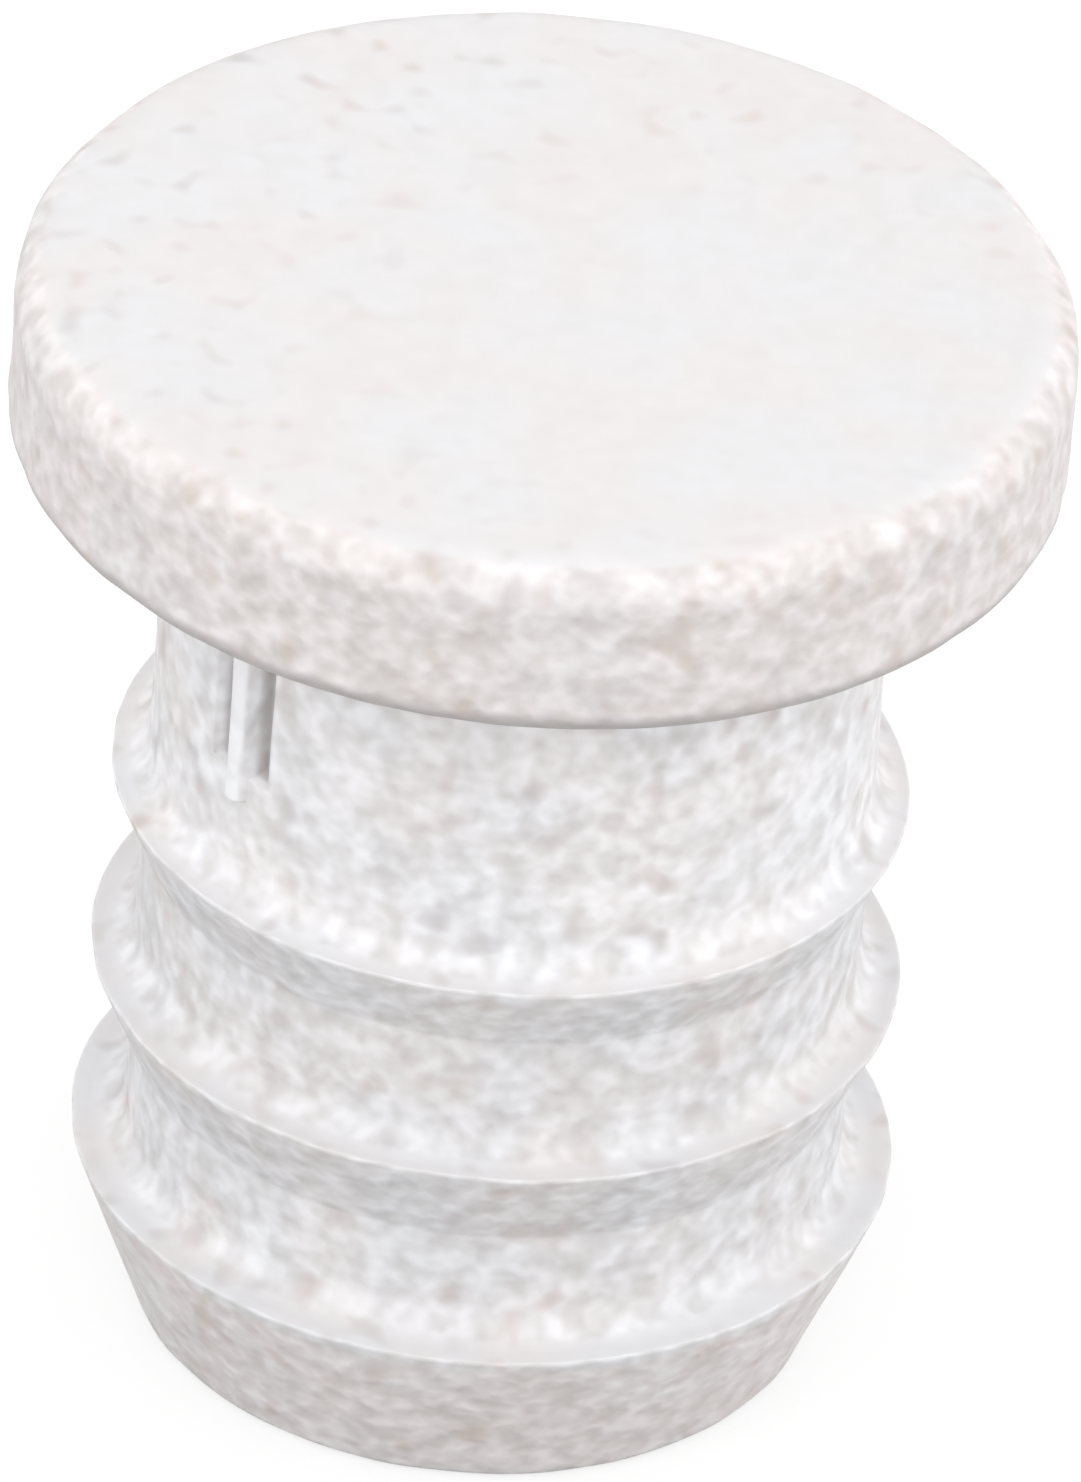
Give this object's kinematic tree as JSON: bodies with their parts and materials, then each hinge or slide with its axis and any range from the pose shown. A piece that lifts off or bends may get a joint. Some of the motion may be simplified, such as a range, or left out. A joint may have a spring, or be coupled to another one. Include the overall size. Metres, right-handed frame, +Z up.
{
  "type": "cabinet door bumper",
  "caption": "Push-in door bumper: a round flat head with a rounded rim on a thick stem with barbed rings and a tapered, flat tip.",
  "frame": {"origin": "centre of the flat tip face that it stands on", "axes": "+Z up the stem from the tip to the head; -Y is the side that the picture shows"},
  "size_m": [0.011, 0.011, 0.0126],
  "materials": {
    "soft_white_plastic": "off-white soft moulded plastic with a fine matt grain"
  },
  "bodies": {
    "root": {"door_bumper": "soft_white_plastic"}
  },
  "joints": []
}
